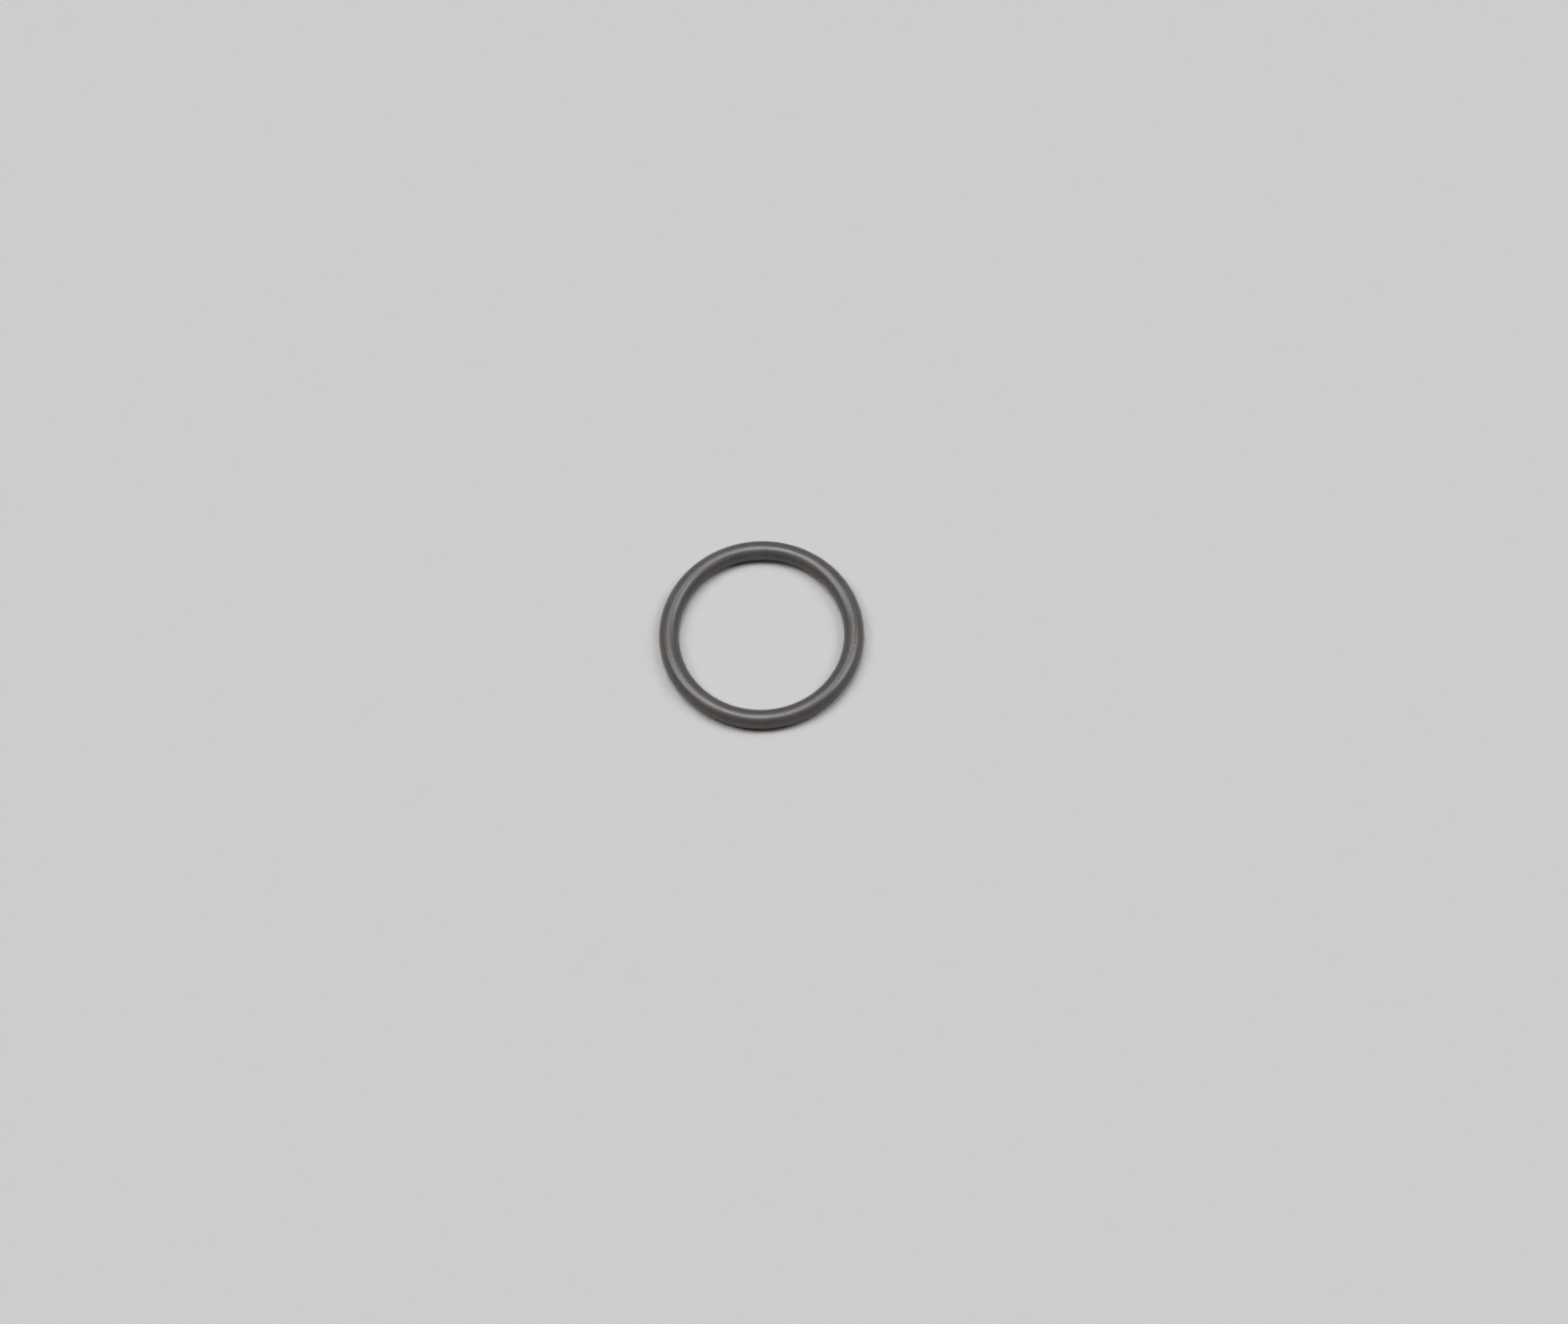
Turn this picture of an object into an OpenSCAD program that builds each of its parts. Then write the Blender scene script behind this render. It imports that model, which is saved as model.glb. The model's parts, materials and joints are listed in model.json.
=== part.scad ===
// Rubber o-ring, lying flat: a moulded ring of round section.
// The origin is the centre of the ring at half its thickness, and +Z is the ring's axis.

/* [Ring] */
// Inside diameter of the moulded ring, between the round inner walls
inside_d = 15.6; // [3:0.01:250]
// Diameter of the round section
section_d = 1.78; // [0.8:0.01:8.4]

/* [Mould line] */
// How far the trimmed flash stands proud of the round section
flash_h = 0.04; // [0.01:0.01:0.1]
// Width of the trimmed flash, across the plane where the mould parts
flash_w = 0.12; // [0.04:0.01:0.3]

/* [Hidden] */

// Radius of the circle that the centre of the section follows
pitch_r = (inside_d + section_d) / 2;
// Reach across the section, from the inner crest of the flash to the outer one
over_flash = section_d + 2 * flash_h;
// Smoothness of the section and of the ring
section_fn = 72;
ring_fn = 240;

// The rubber fills two half-round grooves, so the moulded section is a true circle.
module round_section() {
    circle(d = section_d, $fn = section_fn);
}

// The mould parts at half the ring's thickness. A thin sheet of rubber creeps out there and is
// trimmed off, which leaves a low square-cut line round the inner wall and round the outer one.
// One bar across the section draws both lines.
module trimmed_flash() {
    square([over_flash, flash_w], center = true);
}

module o_ring() {
    color("#4F4C4B")
        rotate_extrude($fn = ring_fn)
            translate([pitch_r, 0]) {
                round_section();
                trimmed_flash();
            }
}

o_ring();
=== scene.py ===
"""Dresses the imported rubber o-ring: the moulded ring, the dust on it and the paper it lies on."""

import json
import math
import random

import bpy
from bpy.props import FloatProperty, FloatVectorProperty, IntProperty, PointerProperty
from mathutils import Matrix, Vector


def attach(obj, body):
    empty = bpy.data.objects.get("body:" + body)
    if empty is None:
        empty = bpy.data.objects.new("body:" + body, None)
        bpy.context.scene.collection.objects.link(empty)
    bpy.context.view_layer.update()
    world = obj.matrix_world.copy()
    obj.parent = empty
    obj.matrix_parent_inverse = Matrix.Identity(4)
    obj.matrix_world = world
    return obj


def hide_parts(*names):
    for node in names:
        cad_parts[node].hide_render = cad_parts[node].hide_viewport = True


bl_info = {
    "name": "Rubber o-ring",
    "version": (1, 0, 0),
    "blender": (4, 5, 0),
    "location": "View3D > Sidebar > O-ring",
    "description": "Builds a moulded rubber sealing ring, the dust on it and the paper under it",
    "category": "Add Mesh",
}

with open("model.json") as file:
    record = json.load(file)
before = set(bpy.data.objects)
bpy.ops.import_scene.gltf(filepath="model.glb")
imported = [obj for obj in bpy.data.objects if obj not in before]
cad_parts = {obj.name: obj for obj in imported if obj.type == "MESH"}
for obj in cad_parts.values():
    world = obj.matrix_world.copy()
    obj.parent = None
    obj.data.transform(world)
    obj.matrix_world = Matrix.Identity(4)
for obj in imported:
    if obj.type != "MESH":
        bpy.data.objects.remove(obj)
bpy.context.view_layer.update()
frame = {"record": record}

MM = 0.001
PER_MM = 1 / MM
IMAGE_WIDTH, IMAGE_HEIGHT = 1600, 1351


def seat(name):
    """The stated dimensions of one of the ring's mounts, in millimetres."""
    return next(m["dims"] for m in frame["record"]["mounts"] if m["name"] == name)


# The ring's own sizes, from the CAD model: each seat's wall is the crest of a mould line,
# and its length is that line's width. Only the line's height is repeated from the source.
FLASH_HEIGHT = 0.04 * MM
FLASH_WIDTH = seat("gland_seat")["length_mm"] * MM
CREST_INSIDE = seat("shaft_seat")["r_mm"] * MM
CREST_OUTSIDE = seat("gland_seat")["r_mm"] * MM
PITCH_RADIUS = (CREST_INSIDE + CREST_OUTSIDE) / 2
SECTION_RADIUS = (CREST_OUTSIDE - CREST_INSIDE) / 2 - FLASH_HEIGHT


# Node trees


class Value:
    """A number, vector or colour in a node tree. Arithmetic on it adds the Math nodes."""

    def __init__(self, graph, socket):
        self.graph = graph
        self.socket = socket

    def other(self, key):
        """Another output of the same node."""
        return Value(self.graph, self.graph.pick(self.socket.node.outputs, key))

    def __add__(self, number):
        return self.graph.math("ADD", self, number)

    def __radd__(self, number):
        return self.graph.math("ADD", number, self)

    def __sub__(self, number):
        return self.graph.math("SUBTRACT", self, number)

    def __rsub__(self, number):
        return self.graph.math("SUBTRACT", number, self)

    def __mul__(self, number):
        return self.graph.math("MULTIPLY", self, number)

    def __rmul__(self, number):
        return self.graph.math("MULTIPLY", number, self)

    def __truediv__(self, number):
        return self.graph.math("DIVIDE", self, number)

    def __rtruediv__(self, number):
        return self.graph.math("DIVIDE", number, self)

    def __pow__(self, number):
        return self.graph.math("POWER", self, number)

    def __rpow__(self, number):
        return self.graph.math("POWER", number, self)

    def __neg__(self):
        return self.graph.math("MULTIPLY", self, -1.0)

    def __abs__(self):
        return self.graph.math("ABSOLUTE", self)

    def __lt__(self, number):
        return self.graph.math("LESS_THAN", self, number)

    def __gt__(self, number):
        return self.graph.math("GREATER_THAN", self, number)


class Graph:
    """A node tree, and the one method that adds a node of any type to it."""

    def __init__(self, tree):
        self.tree = tree

    @staticmethod
    def pick(sockets, key):
        """A socket by its place, its identifier or its name."""
        if isinstance(key, int):
            return sockets[key]
        return next(s for s in sockets if key in (s.identifier, s.name))

    def add(self, kind, settings=None, inputs=None, output=0):
        """Adds a node, sets it, then fills or links its inputs, and returns one output."""
        node = self.tree.nodes.new(kind)
        for name, setting in (settings or {}).items():
            if name == "stops":
                self.set_stops(node.color_ramp, setting)
            else:
                setattr(node, name, setting)
        pairs = inputs.items() if isinstance(inputs, dict) else enumerate(inputs or ())
        for key, value in pairs:
            socket = self.pick(node.inputs, key)
            if isinstance(value, Value):
                self.tree.links.new(value.socket, socket)
            else:
                socket.default_value = value
        return Value(self, self.pick(node.outputs, output)) if node.outputs else None

    @staticmethod
    def set_stops(ramp, stops):
        """Gives a colour ramp its (place, grey level) stops."""
        while len(ramp.elements) < len(stops):
            ramp.elements.new(0.5)
        for element, (place, level) in zip(ramp.elements, stops):
            element.position = place
            element.color = (level, level, level, 1)

    def math(self, operation, *numbers):
        return self.add("ShaderNodeMath", {"operation": operation}, numbers)

    def vector(self, x, y, z):
        return self.add("ShaderNodeCombineXYZ", None, (x, y, z))

    def scaled(self, vector, factor):
        return self.add(
            "ShaderNodeVectorMath", {"operation": "SCALE"}, {"Vector": vector, "Scale": factor}
        )

    def place_in_mm(self):
        """Where a point is on its object, in millimetres."""
        return self.scaled(self.add("ShaderNodeTexCoord", None, None, "Object"), PER_MM)

    def axes(self, vector):
        """The x, y and z of a vector."""
        x = self.add("ShaderNodeSeparateXYZ", None, [vector], "X")
        return x, x.other("Y"), x.other("Z")

    def noise(self, vector, scale, detail=2.0, roughness=0.5, seed=0.0):
        """Fractal noise between about 0.2 and 0.8, from a place and a seed."""
        return self.add(
            "ShaderNodeTexNoise",
            {"noise_dimensions": "4D"},
            {"Vector": vector, "W": seed, "Scale": scale, "Detail": detail, "Roughness": roughness},
        )

    def ramp(self, factor, *stops):
        """A grey ramp through (place, level) stops."""
        return self.add("ShaderNodeValToRGB", {"stops": stops}, [factor])

    def blend(self, factor, low, high):
        """A colour between two colours."""
        return self.add(
            "ShaderNodeMix",
            {"data_type": "RGBA", "clamp_factor": True},
            {"Factor_Float": factor, "A_Color": low, "B_Color": high},
            "Result_Color",
        )


def opaque(colour):
    """A colour socket's four numbers from a setting's three."""
    return (*colour, 1.0)


def new_material(name):
    """An empty material and its graph."""
    material = bpy.data.materials.new(name)
    material.use_nodes = True
    material.node_tree.nodes.clear()
    return material, Graph(material.node_tree)


def new_form(name, inputs):
    """A geometry tree with named inputs: its graph, each input's Value, and what ends the tree."""
    tree = bpy.data.node_groups.new(name, "GeometryNodeTree")
    for label, kind in inputs.items():
        tree.interface.new_socket(label, in_out="INPUT", socket_type=kind)
    tree.interface.new_socket("Geometry", in_out="OUTPUT", socket_type="NodeSocketGeometry")
    graph = Graph(tree)
    start = tree.nodes.new("NodeGroupInput")
    values = {label: Value(graph, graph.pick(start.outputs, label)) for label in inputs}

    def end(geometry, material):
        """Joins the geometry to the output as one smooth mesh of one material."""
        solid = graph.add("GeometryNodeRealizeInstances", None, [geometry])
        smooth = graph.add("GeometryNodeSetShadeSmooth", None, [solid])
        finish = graph.add(
            "GeometryNodeSetMaterial", None, {"Geometry": smooth, "Material": material}
        )
        graph.add("NodeGroupOutput", None, [finish])

    return tree, graph, values, end


def grow(context, name, tree, settings, seedbed=None):
    """A plain mesh object from a geometry tree. Its modifier is gone before the object is used."""
    piece = bpy.data.objects.new(name, seedbed or bpy.data.meshes.new(name))
    context.scene.collection.objects.link(piece)
    modifier = piece.modifiers.new("form", "NODES")
    modifier.node_group = tree
    for item in tree.interface.items_tree:
        if item.in_out == "INPUT" and item.name in settings:
            modifier[item.identifier] = settings[item.name]
    evaluated = piece.evaluated_get(context.evaluated_depsgraph_get())
    mesh = bpy.data.meshes.new_from_object(evaluated)
    piece.modifiers.remove(modifier)
    piece.data = mesh
    mesh.name = name
    if not mesh.polygons:
        raise RuntimeError(f"{name} came out empty")
    return piece


# Settings


class RingSettings(bpy.types.PropertyGroup):
    """Sizes and finish of the moulded ring"""

    pitch_radius: FloatProperty(
        name="Pitch radius",
        description="Radius of the circle that the middle of the section follows",
        default=PITCH_RADIUS,
        min=1.0 * MM,
        unit="LENGTH",
        precision=5,
    )
    section_radius: FloatProperty(
        name="Section radius",
        description="Radius of the round section",
        default=SECTION_RADIUS,
        min=0.4 * MM,
        unit="LENGTH",
        precision=5,
    )
    flash_height: FloatProperty(
        name="Flash height",
        description="How far the trimmed mould line stands proud of the round section",
        default=FLASH_HEIGHT,
        min=0.0,
        unit="LENGTH",
        precision=5,
    )
    flash_width: FloatProperty(
        name="Flash width",
        description="Width of the trimmed mould line",
        default=FLASH_WIDTH,
        min=0.01 * MM,
        unit="LENGTH",
        precision=5,
    )
    flash_wear: FloatProperty(
        name="Flash wear",
        description="How deep the trim dips into the mould line, as a share of its height",
        default=0.5,
        min=0.0,
        max=1.0,
        subtype="FACTOR",
    )
    steps_round: IntProperty(
        name="Steps round", description="Faces round the ring", default=720, min=90, max=1000
    )
    arc_points: IntProperty(
        name="Arc points", description="Points over each half of the section", default=27, min=8
    )
    crest_points: IntProperty(
        name="Crest points", description="Points across each mould line", default=8, min=3
    )
    colour: FloatVectorProperty(
        name="Rubber",
        description="Body colour of the rubber",
        default=(0.0620, 0.0485, 0.0410),
        size=3,
        min=0.0,
        max=1.0,
        subtype="COLOR",
    )
    cool_colour: FloatVectorProperty(
        name="Cool rubber",
        description="Body colour in the patches where the rubber is a cooler black",
        default=(0.0510, 0.0468, 0.0465),
        size=3,
        min=0.0,
        max=1.0,
        subtype="COLOR",
    )
    bloom_colour: FloatVectorProperty(
        name="Bloom",
        description="Paler grey where the rubber's wax has bloomed and where it is torn",
        default=(0.0930, 0.0835, 0.0785),
        size=3,
        min=0.0,
        max=1.0,
        subtype="COLOR",
    )
    roughness: FloatProperty(
        name="Roughness",
        description="Roughness of the moulded skin",
        default=0.31,
        min=0.0,
        max=1.0,
        subtype="FACTOR",
    )
    line_depth: FloatProperty(
        name="Line depth",
        description="Depth of the fine lines that the turned mould leaves round the ring",
        default=0.009 * MM,
        min=0.0,
        unit="LENGTH",
        precision=7,
    )
    grain_depth: FloatProperty(
        name="Grain depth",
        description="Depth of the rubber's fine grain",
        default=0.009 * MM,
        min=0.0,
        unit="LENGTH",
        precision=7,
    )


class DustSettings(bpy.types.PropertyGroup):
    """The dust on the ring"""

    colour: FloatVectorProperty(
        name="Dust",
        description="Colour of the dust flecks",
        default=(0.52, 0.51, 0.49),
        size=3,
        min=0.0,
        max=1.0,
        subtype="COLOR",
    )
    size: FloatProperty(
        name="Size",
        description="Scale on every fleck's radius",
        default=1.0,
        min=0.1,
        max=2.0,
        subtype="FACTOR",
    )
    fine_count: IntProperty(
        name="Fine flecks", description="Number of barely visible flecks", default=36, min=0
    )
    seed: IntProperty(name="Seed", description="Seed of the fine flecks' places", default=7)


class StageSettings(bpy.types.PropertyGroup):
    """The paper under the ring, the lamps and the camera"""

    paper: FloatVectorProperty(
        name="Paper",
        description="Colour of the paper under the ring",
        default=(0.600, 0.597, 0.591),
        size=3,
        min=0.0,
        max=1.0,
        subtype="COLOR",
    )
    light_spread: FloatProperty(
        name="Light spread",
        description="How far light spreads inside the paper",
        default=0.43 * MM,
        min=0.0,
        unit="LENGTH",
        precision=5,
    )
    reach: FloatProperty(
        name="Reach", description="Half the width of the paper", default=4.0, min=0.1, unit="LENGTH"
    )
    elevation: FloatProperty(
        name="Elevation",
        description="How far above the horizon the camera stands",
        default=math.radians(65.6),
        unit="ROTATION",
    )
    roll: FloatProperty(
        name="Roll",
        description="How far the camera is turned about its own line of sight",
        default=math.radians(-3.5),
        unit="ROTATION",
    )
    lens: FloatProperty(
        name="Lens", description="Focal length in millimetres", default=100.0, min=10.0
    )
    ring_span: FloatProperty(
        name="Ring span", description="Pitch radius in the picture, in pixels", default=94.5, min=1.0
    )
    ring_x: FloatProperty(
        name="Ring x", description="Pixels from the left edge to the ring's centre", default=777.0
    )
    ring_y: FloatProperty(
        name="Ring y", description="Pixels from the top edge to the ring's centre", default=647.1
    )


# The ring


# The power that squares the shoulders of a mould line's crest
CREST_SQUARENESS = 4
# The dips and the tears along the crest: how many there are to a millimetre, where in their
# pattern they begin, and how fast they deepen from there
DIP_SCALE, DIPS_FROM, DIPS_RATE = 0.6, 0.35, 1.5
TEAR_SCALE, TEARS_FROM, TEARS_RATE = 4.0, 0.40, 1.6


def ring_form():
    """The ring's tree: a point for each place round the section, swept round the pitch circle."""
    tree, graph, given, end = new_form(
        "ring_form",
        {
            "Pitch radius": "NodeSocketFloat",
            "Section radius": "NodeSocketFloat",
            "Flash height": "NodeSocketFloat",
            "Flash width": "NodeSocketFloat",
            "Flash wear": "NodeSocketFloat",
            "Steps round": "NodeSocketInt",
            "Arc points": "NodeSocketInt",
            "Crest points": "NodeSocketInt",
            "Material": "NodeSocketMaterial",
        },
    )
    radius, height, width = (given[k] for k in ("Section radius", "Flash height", "Flash width"))
    arc, crest = given["Arc points"], given["Crest points"]

    # Each half of the section has an arc over the top, then a crest down its wall; the second
    # half is the first one turned by half a turn.
    index = graph.add("GeometryNodeInputIndex")
    per_half = arc + crest
    half = graph.math("FLOOR", (index + 0.5) / per_half)
    step = index - half * per_half
    on_arc = step < arc - 0.5
    root = graph.math("ARCSINE", width / 2 / radius)
    angle = root + (math.pi - 2 * root) * step / (arc - 1)
    across = (step - arc + 0.5) / crest
    lift = (1 - abs(1 - 2 * across) ** CREST_SQUARENESS) * (1 - on_arc)
    level = width / 2 * (1 - 2 * across)
    wall = (radius * radius - level * level) ** 0.5
    crest_x = -(wall + (radius + height - wall) * lift)
    x = on_arc * radius * graph.math("COSINE", angle) + (1 - on_arc) * crest_x
    y = on_arc * radius * graph.math("SINE", angle) + (1 - on_arc) * level
    turn = 1 - 2 * half
    points = graph.add(
        "GeometryNodePoints",
        None,
        {"Count": 2 * per_half, "Position": graph.vector(x * turn, y * turn, 0.0)},
    )
    outline = graph.add("GeometryNodePointsToCurves", None, [points])
    outline = graph.add(
        "GeometryNodeSetSplineCyclic", None, {"Geometry": outline, "Cyclic": True}
    )
    outline = graph.add(
        "GeometryNodeStoreNamedAttribute",
        {"data_type": "FLOAT", "domain": "POINT"},
        {"Geometry": outline, "Name": "flash", "Value": lift},
    )
    path = graph.add(
        "GeometryNodeCurvePrimitiveCircle",
        {"mode": "RADIUS"},
        {"Resolution": given["Steps round"], "Radius": given["Pitch radius"]},
    )
    ring = graph.add("GeometryNodeCurveToMesh", None, {"Curve": path, "Profile Curve": outline})

    # The trim leaves the mould lines uneven: long shallow dips, and a fine torn edge.
    place = graph.add("GeometryNodeInputPosition")
    flash = graph.add("GeometryNodeInputNamedAttribute", {"data_type": "FLOAT"}, {"Name": "flash"})
    around_x, around_y, _ = graph.axes(place)
    reach = (around_x * around_x + around_y * around_y) ** 0.5
    dips = graph.noise(place, DIP_SCALE * PER_MM, detail=2.0, seed=3.0)
    tears = graph.noise(place, TEAR_SCALE * PER_MM, detail=3.0, roughness=0.6, seed=11.0)
    wear = (dips - DIPS_FROM) * DIPS_RATE + (tears - TEARS_FROM) * TEARS_RATE
    wear = graph.add("ShaderNodeClamp", None, [wear, 0.0, 1.0])
    inward = given["Flash wear"] * height * flash * wear
    side = graph.math("SIGN", given["Pitch radius"] - reach)
    pull = side * inward / reach
    offset = graph.vector(around_x * pull, around_y * pull, 0.0)
    ring = graph.add("GeometryNodeSetPosition", None, {"Geometry": ring, "Offset": offset})
    end(ring, given["Material"])
    return tree


# The rubber's patterns: how many features each has to a millimetre
LINE_SCALE = 8.0
GRAIN_SCALE = 7.0
SPECK_SCALE = 5.5
HAZE_SCALE = 2.4
BLOOM_SCALE = 0.45
PATCH_SCALE = 0.35
# The lines' pattern is taken round a circle of this radius. The bigger it is, the more often a
# line fades on its way round the ring.
LINE_CIRCLE = 3.0
# How much of a pattern shows, as (place, level) stops
SPECK_RAMP = ((0.14, 1.0), (0.20, 0.0))
BLOOM_RAMP = ((0.40, 0.0), (0.66, 1.0))
HAZE_RAMP = ((0.45, 0.0), (0.72, 1.0))
PATCH_RAMP = ((0.40, 0.0), (0.60, 1.0))
# How far the grain moves the edges of the specks, and the least haze that has any specks
SPECK_RAGGEDNESS = 0.10
SPECK_HAZE = 0.5
# How much of the bloom's paler grey each of them brings
BLOOM_SHARE = 0.4
HAZE_SHARE = 0.4
SPECK_SHARE = 0.5
TORN_SHARE = 0.35
TORN_GRAIN_SHARE = 0.9
# How far each of them changes the roughness
HAZE_ROUGHNESS = 0.14
LINE_ROUGHNESS = 0.12
TORN_ROUGHNESS = 0.22
# What a torn crest adds to the depth of the grain, against its depth elsewhere
TORN_GRAIN = 2.0
RUBBER_IOR = 1.52
RUBBER_GLOSS = 0.60


def rubber_material(ring):
    """Black moulded rubber, cooler in patches, with fine lines, grain and a faint bloom."""
    material, graph = new_material("black_rubber")
    place = graph.place_in_mm()
    x, y, z = graph.axes(place)
    reach = (x * x + y * y) ** 0.5
    section = ring.section_radius * PER_MM
    outward = reach - ring.pitch_radius * PER_MM
    # Distance walked round the section, so a line stays on one circle of the mould
    walk = graph.math("ARCTAN2", z, outward) * section
    heading_x, heading_y = x / reach, y / reach

    # A turned mould leaves lines that run with the ring and fade in and out along it.
    circle = graph.vector(walk * LINE_SCALE, heading_x * LINE_CIRCLE, heading_y * LINE_CIRCLE)
    lines = graph.noise(circle, 1.0, detail=4.0, roughness=0.75)
    grain = graph.noise(place, GRAIN_SCALE, detail=4.0, roughness=0.65, seed=2.0)
    bloom = graph.noise(place, BLOOM_SCALE, detail=4.0, roughness=0.55, seed=5.0)
    haze = graph.noise(place, HAZE_SCALE, detail=5.0, roughness=0.7, seed=8.0)
    patches = graph.noise(place, PATCH_SCALE, detail=3.0, roughness=0.6, seed=13.0)
    flash = graph.add("ShaderNodeAttribute", {"attribute_name": "flash"}, None, "Fac")
    cells = graph.add(
        "ShaderNodeTexVoronoi",
        {"feature": "F1"},
        {"Vector": place, "Scale": SPECK_SCALE},
        "Distance",
    )
    specks = graph.ramp(cells + grain * SPECK_RAGGEDNESS, *SPECK_RAMP) * (haze > SPECK_HAZE)

    # The rubber is paler where it has bloomed and where the trim has torn the mould lines.
    bloomed = graph.ramp(bloom, *BLOOM_RAMP) * BLOOM_SHARE
    hazed = graph.ramp(haze, *HAZE_RAMP) * HAZE_SHARE
    torn = flash * (TORN_SHARE + grain * TORN_GRAIN_SHARE)
    cool = graph.ramp(patches, *PATCH_RAMP)
    body = graph.blend(cool, opaque(ring.colour), opaque(ring.cool_colour))
    pale = bloomed + hazed + specks * SPECK_SHARE + torn
    colour = graph.blend(pale, body, opaque(ring.bloom_colour))
    roughness = ring.roughness + (haze - 0.5) * HAZE_ROUGHNESS + (lines - 0.5) * LINE_ROUGHNESS
    roughness = roughness + flash * TORN_ROUGHNESS

    lined = graph.add("ShaderNodeBump", None, {"Distance": ring.line_depth, "Height": lines})
    relief = grain + flash * grain * TORN_GRAIN
    normal = graph.add(
        "ShaderNodeBump", None, {"Distance": ring.grain_depth, "Height": relief, "Normal": lined}
    )
    shader = graph.add(
        "ShaderNodeBsdfPrincipled",
        None,
        {
            "Base Color": colour,
            "Roughness": roughness,
            "Normal": normal,
            "IOR": RUBBER_IOR,
            "Specular IOR Level": RUBBER_GLOSS,
        },
    )
    graph.add("ShaderNodeOutputMaterial", None, {"Surface": shader})
    return material


class ORING_OT_ring(bpy.types.Operator):
    """Build the moulded rubber ring in place of the plain CAD ring"""

    bl_idname = "oring.ring"
    bl_label = "Build the ring"

    def execute(self, context):
        ring = context.scene.oring_ring
        piece = grow(
            context,
            "ring",
            ring_form(),
            {
                "Pitch radius": ring.pitch_radius,
                "Section radius": ring.section_radius,
                "Flash height": ring.flash_height,
                "Flash width": ring.flash_width,
                "Flash wear": ring.flash_wear,
                "Steps round": ring.steps_round,
                "Arc points": ring.arc_points,
                "Crest points": ring.crest_points,
                "Material": rubber_material(ring),
            },
        )
        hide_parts("o_ring")
        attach(piece, "root")
        return {"FINISHED"}


# The dust


# The dust that shows: degrees round the ring from +X, degrees up the section from its outer
# wall, and radius in millimetres
DUST_FLECKS = (
    (10, 106, 0.062),
    (0, 90, 0.042),
    (358, 83, 0.045),
    (346, 81, 0.060),
    (336, 90, 0.032),
    (321, 73, 0.048),
    (305, 44, 0.036),
    (262, 118, 0.030),
    (196, 82, 0.052),
)
# The barely visible flecks: the least and the most degrees up the section, and the least and
# the most radius in millimetres
FINE_PLACES = (15, 165)
FINE_RADII = (0.008, 0.018)
# A fleck's shape: its thickness and its least and most stretch, against its radius, then how
# far its dents go and how many there are to a millimetre
FLATNESS = 0.45
STRETCH = (0.75, 1.5)
DENT_DEPTH = 0.02 * MM
DENT_SCALE = 22.0
# The dust's fibres: how many there are to a millimetre, how they show, how deep they are, and
# how bright the painted shade in their hollows is against the rest
FIBRE_SCALE = 30.0
FIBRE_RAMP = ((0.35, 0.0), (0.65, 1.0))
FIBRE_DEPTH = 0.002 * MM
PAINTED_HOLLOW_SHADE = 0.6
DUST_ROUGHNESS = 0.9


def dust_form():
    """The dust's tree: a flattened uneven fleck on each point, turned to lie on the rubber."""
    tree, graph, given, end = new_form(
        "dust_form",
        {
            "Geometry": "NodeSocketGeometry",
            "Flatness": "NodeSocketFloat",
            "Unevenness": "NodeSocketFloat",
            "Seed": "NodeSocketInt",
            "Material": "NodeSocketMaterial",
        },
    )
    least, most = STRETCH
    ball = graph.add("GeometryNodeMeshIcoSphere", None, {"Radius": 1.0, "Subdivisions": 2})
    lie = graph.add(
        "GeometryNodeInputNamedAttribute", {"data_type": "FLOAT_VECTOR"}, {"Name": "lie"}
    )
    size = graph.add("GeometryNodeInputNamedAttribute", {"data_type": "FLOAT"}, {"Name": "size"})
    spin = graph.add(
        "FunctionNodeRandomValue",
        {"data_type": "FLOAT"},
        {"Min_001": 0.0, "Max_001": 2 * math.pi, "Seed": given["Seed"]},
        "Value_001",
    )
    stretch = graph.add(
        "FunctionNodeRandomValue",
        {"data_type": "FLOAT"},
        {"Min_001": least, "Max_001": most, "Seed": given["Seed"] + 1},
        "Value_001",
    )
    upright = graph.add("FunctionNodeAlignRotationToVector", {"axis": "Z"}, {"Vector": lie})
    twist = graph.add("FunctionNodeEulerToRotation", None, [graph.vector(0.0, 0.0, spin)])
    rotation = graph.add(
        "FunctionNodeRotateRotation", {"rotation_space": "LOCAL"}, [upright, twist]
    )
    flecks = graph.add(
        "GeometryNodeInstanceOnPoints",
        None,
        {
            "Points": given["Geometry"],
            "Instance": ball,
            "Rotation": rotation,
            "Scale": graph.vector(size * stretch, size / stretch, size * given["Flatness"]),
        },
    )
    flecks = graph.add("GeometryNodeRealizeInstances", None, [flecks])
    place = graph.add("GeometryNodeInputPosition")
    uneven = graph.add(
        "ShaderNodeTexNoise",
        {"noise_dimensions": "3D"},
        {"Vector": place, "Scale": DENT_SCALE * PER_MM, "Detail": 1.0},
        "Color",
    )
    centred = graph.add(
        "ShaderNodeVectorMath", {"operation": "SUBTRACT"}, [uneven, (0.5, 0.5, 0.5)]
    )
    flecks = graph.add(
        "GeometryNodeSetPosition",
        None,
        {"Geometry": flecks, "Offset": graph.scaled(centred, given["Unevenness"])},
    )
    end(flecks, given["Material"])
    return tree


def dust_material(dust):
    """Pale matte dust, with painted shade darkening the hollows of its fibres."""
    material, graph = new_material("pale_dust")
    place = graph.add("ShaderNodeTexCoord", None, None, "Object")
    fibres = graph.noise(place, FIBRE_SCALE * PER_MM, detail=2.0)
    # Painted shade: the fibres' hollows get a darker copy of the dust's colour
    shade = tuple(PAINTED_HOLLOW_SHADE * c for c in dust.colour)
    risen = graph.ramp(fibres, *FIBRE_RAMP)
    colour = graph.blend(risen, opaque(shade), opaque(dust.colour))
    normal = graph.add("ShaderNodeBump", None, {"Distance": FIBRE_DEPTH, "Height": fibres})
    shader = graph.add(
        "ShaderNodeBsdfPrincipled",
        None,
        {"Base Color": colour, "Roughness": DUST_ROUGHNESS, "Normal": normal},
    )
    graph.add("ShaderNodeOutputMaterial", None, {"Surface": shader})
    return material


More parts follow.
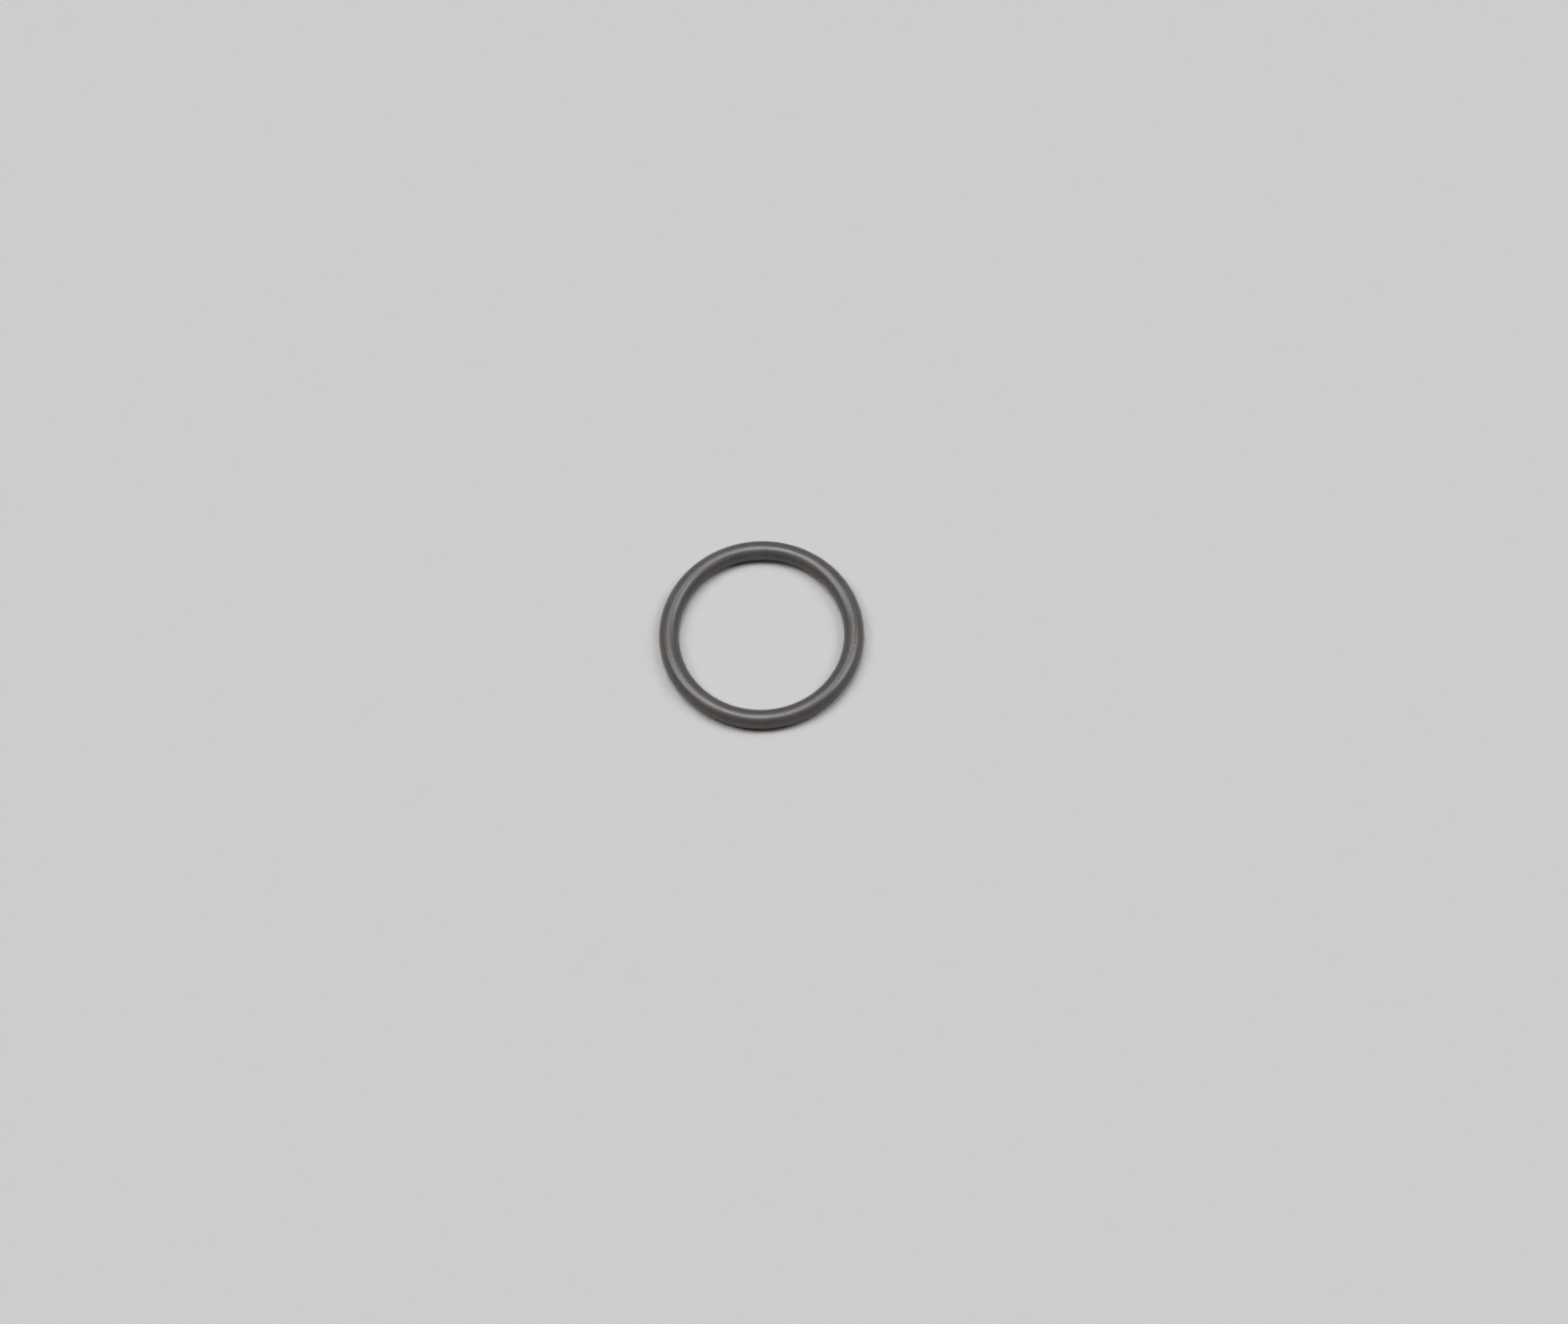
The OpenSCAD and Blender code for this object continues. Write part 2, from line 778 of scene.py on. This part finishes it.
def fleck_points(ring, dust):
    """A mesh of loose points, one for each fleck, with the way up and the size of each."""
    draw = random.Random(dust.seed)
    flecks = list(DUST_FLECKS)
    for _ in range(dust.fine_count):
        around, up = draw.uniform(0, 360), draw.uniform(*FINE_PLACES)
        flecks.append((around, up, draw.uniform(*FINE_RADII)))
    places, normals, sizes = [], [], []
    for around, up, radius in flecks:
        a, u = math.radians(around), math.radians(up)
        normal = Vector((math.cos(u) * math.cos(a), math.cos(u) * math.sin(a), math.sin(u)))
        centre = Vector((math.cos(a), math.sin(a), 0)) * ring.pitch_radius
        places.append(centre + normal * ring.section_radius)
        normals.append(normal)
        sizes.append(radius * MM * dust.size)
    mesh = bpy.data.meshes.new("fleck_points")
    mesh.from_pydata(places, [], [])
    lie = mesh.attributes.new("lie", "FLOAT_VECTOR", "POINT")
    lie.data.foreach_set("vector", [c for n in normals for c in n])
    mesh.attributes.new("size", "FLOAT", "POINT").data.foreach_set("value", sizes)
    return mesh


class ORING_OT_dust(bpy.types.Operator):
    """Scatter the dust flecks that lie on the ring"""

    bl_idname = "oring.dust"
    bl_label = "Scatter the dust"

    def execute(self, context):
        ring, dust = context.scene.oring_ring, context.scene.oring_dust
        piece = grow(
            context,
            "dust",
            dust_form(),
            {
                "Flatness": FLATNESS,
                "Unevenness": DENT_DEPTH,
                "Seed": dust.seed,
                "Material": dust_material(dust),
            },
            fleck_points(ring, dust),
        )
        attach(piece, "root")
        return {"FINISHED"}


# The stage


# The paper's mottle: how many features it has to a millimetre, and how far it strays from the
# paper's colour
MOTTLE_SCALE = 0.5
MOTTLE_CONTRAST = 0.015
# How far red, green and blue light spread in the paper, against each other
SPREAD_BY_COLOUR = (1.06, 1.0, 0.94)


def paper_material(stage):
    """Matte pale paper with a barely visible mottle, in which light spreads a little way."""
    material, graph = new_material("pale_paper")
    mottle = graph.noise(graph.place_in_mm(), MOTTLE_SCALE, detail=5.0, roughness=0.7)
    shade = tuple(c * (1 - MOTTLE_CONTRAST) for c in stage.paper)
    light = tuple(c * (1 + MOTTLE_CONTRAST) for c in stage.paper)
    colour = graph.blend(mottle, opaque(shade), opaque(light))
    shader = graph.add(
        "ShaderNodeBsdfPrincipled",
        {"subsurface_method": "BURLEY"},
        {
            "Base Color": colour,
            "Roughness": 1.0,
            "Specular IOR Level": 0.0,
            "Subsurface Weight": 1.0,
            "Subsurface Radius": SPREAD_BY_COLOUR,
            "Subsurface Scale": stage.light_spread,
        },
    )
    graph.add("ShaderNodeOutputMaterial", None, {"Surface": shader})
    return material


def lay_paper(context, stage, ring):
    """A wide sheet at the level that the ring rests on."""
    half, level = stage.reach, -ring.section_radius
    corners = [(-half, -half), (half, -half), (half, half), (-half, half)]
    mesh = bpy.data.meshes.new("paper")
    mesh.from_pydata([(x, y, level) for x, y in corners], [], [(0, 1, 2, 3)])
    paper = bpy.data.objects.new("paper", mesh)
    context.scene.collection.objects.link(paper)
    mesh.materials.append(paper_material(stage))


# The backdrop, as (place, brightness) stops. By height, which is the sine of an elevation, it is
# the paper's colour round the horizon, and pale walls from there to overhead.
HORIZON = ((0.10, 1.0), (0.13, 0.0))
WALLS = ((0.13, 0.70), (0.60, 1.0))
# The walls are dimmer on the camera's side. A place here is 0 straight towards that side and 1
# straight away from it.
FRONT = ((0.05, 0.30), (0.40, 1.0))
WALL_COLOUR = (0.545, 0.600, 0.655)
# The level of the light that comes evenly from everywhere, in the paper's colour
EVEN_LIGHT = 0.018

# How far off the lamps are drawn. Their light doesn't depend on it.
LAMP_DISTANCE = 0.5
OVERHEAD_LIGHT = (0.975, 0.992, 1.045)
PLAIN_LIGHT = (1.000, 1.000, 1.000)
LEFT_LIGHT = (1.030, 1.005, 0.965)
RIGHT_LIGHT = (1.000, 0.995, 1.000)
# Soft lamps: name, degrees round from +X, degrees above the paper, degrees across, share of the
# light on the paper, colour. The first three make one strip overhead, which runs away from the
# camera.
LAMPS = (
    ("overhead_front_softbox", 268.0, 83.0, 16.0, 0.090, OVERHEAD_LIGHT),
    ("overhead_softbox", 92.0, 86.0, 15.0, 0.125, OVERHEAD_LIGHT),
    ("overhead_back_softbox", 94.0, 76.0, 15.0, 0.139, OVERHEAD_LIGHT),
    ("back_softbox", 102.0, 59.0, 16.0, 0.053, OVERHEAD_LIGHT),
    ("overhead_left_softbox", 152.0, 76.0, 13.0, 0.100, PLAIN_LIGHT),
    ("left_upper_softbox", 173.0, 61.0, 19.0, 0.140, LEFT_LIGHT),
    ("left_lower_softbox", 166.0, 51.0, 19.0, 0.095, LEFT_LIGHT),
    ("right_upper_softbox", 9.0, 61.0, 20.0, 0.165, RIGHT_LIGHT),
    ("right_lower_softbox", 11.0, 48.0, 21.0, 0.111, RIGHT_LIGHT),
)


def hang_lamps(context):
    """Distant soft lamps. With shares that add up to one, the paper shows in its own colour."""
    for name, around, above, across, share, colour in LAMPS:
        light = bpy.data.lights.new(name, "SUN")
        light.angle = math.radians(across)
        light.energy = math.pi * share / math.sin(math.radians(above))
        light.color = colour
        lamp = bpy.data.objects.new(name, light)
        a, e = math.radians(around), math.radians(above)
        way = Vector((math.cos(e) * math.cos(a), math.cos(e) * math.sin(a), math.sin(e)))
        lamp.location = way * LAMP_DISTANCE
        lamp.rotation_euler = way.to_track_quat("Z", "Y").to_euler()
        context.scene.collection.objects.link(lamp)


def open_paper(stage):
    """The colour that the paper has in the picture, away from the ring: its own, as lit."""
    lamplight = [sum(share * tint[i] for *_, share, tint in LAMPS) for i in range(3)]
    return [c * (lamps + EVEN_LIGHT * c) for c, lamps in zip(stage.paper, lamplight)]


def set_world(context, stage):
    """A backdrop for the eye and for gloss, and a little even light."""
    world = bpy.data.worlds.new("studio")
    world.use_nodes = True
    world.node_tree.nodes.clear()
    graph = Graph(world.node_tree)
    path = graph.add("ShaderNodeLightPath", None, None, "Is Camera Ray")
    seen = graph.math("MAXIMUM", path, path.other("Is Glossy Ray"))
    seen = graph.math("MAXIMUM", seen, path.other("Is Transmission Ray"))
    way = graph.add("ShaderNodeTexCoord", None, None, "Generated")
    _, away, height = graph.axes(way)
    walls = graph.ramp(height, *WALLS) * graph.ramp(away / 2 + 0.5, *FRONT)
    horizon = graph.ramp(height, *HORIZON)
    level = graph.math("MAXIMUM", horizon, walls)
    colour = graph.blend(horizon, opaque(WALL_COLOUR), opaque(open_paper(stage)))
    even = graph.add(
        "ShaderNodeBackground", None, {"Color": opaque(stage.paper), "Strength": EVEN_LIGHT}
    )
    backdrop = graph.add("ShaderNodeBackground", None, {"Color": colour, "Strength": level})
    mixed = graph.add("ShaderNodeMixShader", None, [seen, even, backdrop])
    graph.add("ShaderNodeOutputWorld", None, {"Surface": mixed})
    context.scene.world = world


# The width of the camera's sensor, in millimetres
SENSOR_WIDTH = 36.0
# What the camera sees, from near to far, against its distance from the ring
CLIP_NEAR, CLIP_FAR = 0.1, 100


def aim_camera(context, stage, ring):
    """Stands the camera where the ring has its place and its span in the picture."""
    data = bpy.data.cameras.new("camera")
    data.lens = stage.lens
    data.sensor_width = SENSOR_WIDTH
    camera = bpy.data.objects.new("camera", data)
    context.scene.collection.objects.link(camera)
    context.scene.camera = camera
    pixels = stage.lens / data.sensor_width * IMAGE_WIDTH
    distance = pixels * ring.pitch_radius / stage.ring_span
    back = Vector((0.0, -math.cos(stage.elevation), math.sin(stage.elevation)))
    right = Vector((1.0, 0.0, 0.0))
    level = Matrix((right, back.cross(right), back)).transposed()
    aside = (stage.ring_x - IMAGE_WIDTH / 2) / pixels
    below = (stage.ring_y - IMAGE_HEIGHT / 2) / pixels
    swing = Vector((aside, -below, -1.0)).rotation_difference(Vector((0.0, 0.0, -1.0)))
    turn = level @ Matrix.Rotation(stage.roll, 3, "Z") @ swing.to_matrix()
    camera.matrix_world = Matrix.Translation(back * distance) @ turn.to_4x4()
    data.clip_start = distance * CLIP_NEAR
    data.clip_end = distance * CLIP_FAR


class ORING_OT_stage(bpy.types.Operator):
    """Lay the paper, hang the lamps and stand the camera"""

    bl_idname = "oring.stage"
    bl_label = "Set the stage"

    def execute(self, context):
        stage = context.scene.oring_stage
        ring = context.scene.oring_ring
        lay_paper(context, stage, ring)
        hang_lamps(context)
        set_world(context, stage)
        aim_camera(context, stage, ring)
        context.scene.view_settings.view_transform = "Standard"
        return {"FINISHED"}


# The panel


class ORING_PT_build(bpy.types.Panel):
    """Settings and steps of the o-ring, in the 3D view's sidebar"""

    bl_idname = "ORING_PT_build"
    bl_label = "O-ring"
    bl_space_type = "VIEW_3D"
    bl_region_type = "UI"
    bl_category = "O-ring"

    def draw(self, context):
        steps = (
            (context.scene.oring_ring, ORING_OT_ring),
            (context.scene.oring_dust, ORING_OT_dust),
            (context.scene.oring_stage, ORING_OT_stage),
        )
        for settings, operator in steps:
            box = self.layout.box()
            for name in settings.__annotations__:
                box.prop(settings, name)
            box.operator(operator.bl_idname)


CLASSES = (
    RingSettings,
    DustSettings,
    StageSettings,
    ORING_OT_ring,
    ORING_OT_dust,
    ORING_OT_stage,
    ORING_PT_build,
)


def register():
    for cls in CLASSES:
        bpy.utils.register_class(cls)
    bpy.types.Scene.oring_ring = PointerProperty(type=RingSettings)
    bpy.types.Scene.oring_dust = PointerProperty(type=DustSettings)
    bpy.types.Scene.oring_stage = PointerProperty(type=StageSettings)


def unregister():
    del bpy.types.Scene.oring_stage
    del bpy.types.Scene.oring_dust
    del bpy.types.Scene.oring_ring
    for cls in reversed(CLASSES):
        bpy.utils.unregister_class(cls)


def main():
    register()
    bpy.ops.oring.ring()
    bpy.ops.oring.dust()
    bpy.ops.oring.stage()


if __name__ == "__main__":
    main()
